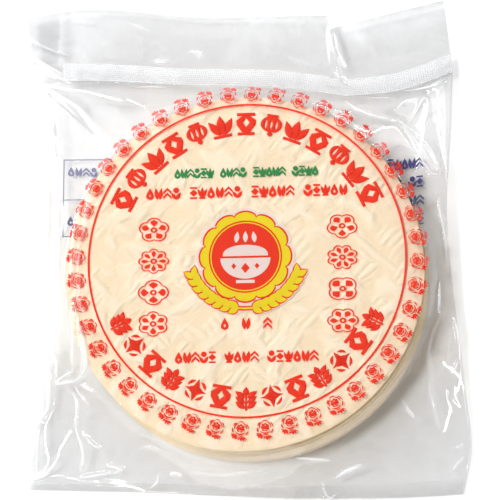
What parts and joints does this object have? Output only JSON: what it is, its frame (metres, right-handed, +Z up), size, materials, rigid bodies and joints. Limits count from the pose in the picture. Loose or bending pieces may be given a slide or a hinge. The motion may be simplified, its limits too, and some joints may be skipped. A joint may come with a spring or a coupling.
{
  "type": "rice paper wrapper stack",
  "caption": "Stack of round dried rice papers sealed in a clear film bag with a welded foot, a heat-seal band and a pleated header.",
  "frame": {"origin": "middle of the flat underside of the stack, which the pack rests on", "axes": "+Z up through the stack, +Y towards the heat-sealed header, +X to the right of the print"},
  "size_m": [0.2027, 0.2278, 0.025],
  "materials": {
    "clear_film": "clear gloss film",
    "rice_paper": "dry translucent starch sheet with woven relief",
    "red_print": "flat ink on film",
    "yellow_print": "flat ink on film",
    "green_print": "flat ink on film",
    "blue_print": "flat ink on film",
    "white_print": "flat ink on film"
  },
  "bodies": {
    "root": {"sealed_bag": "clear_film"}
  },
  "joints": []
}
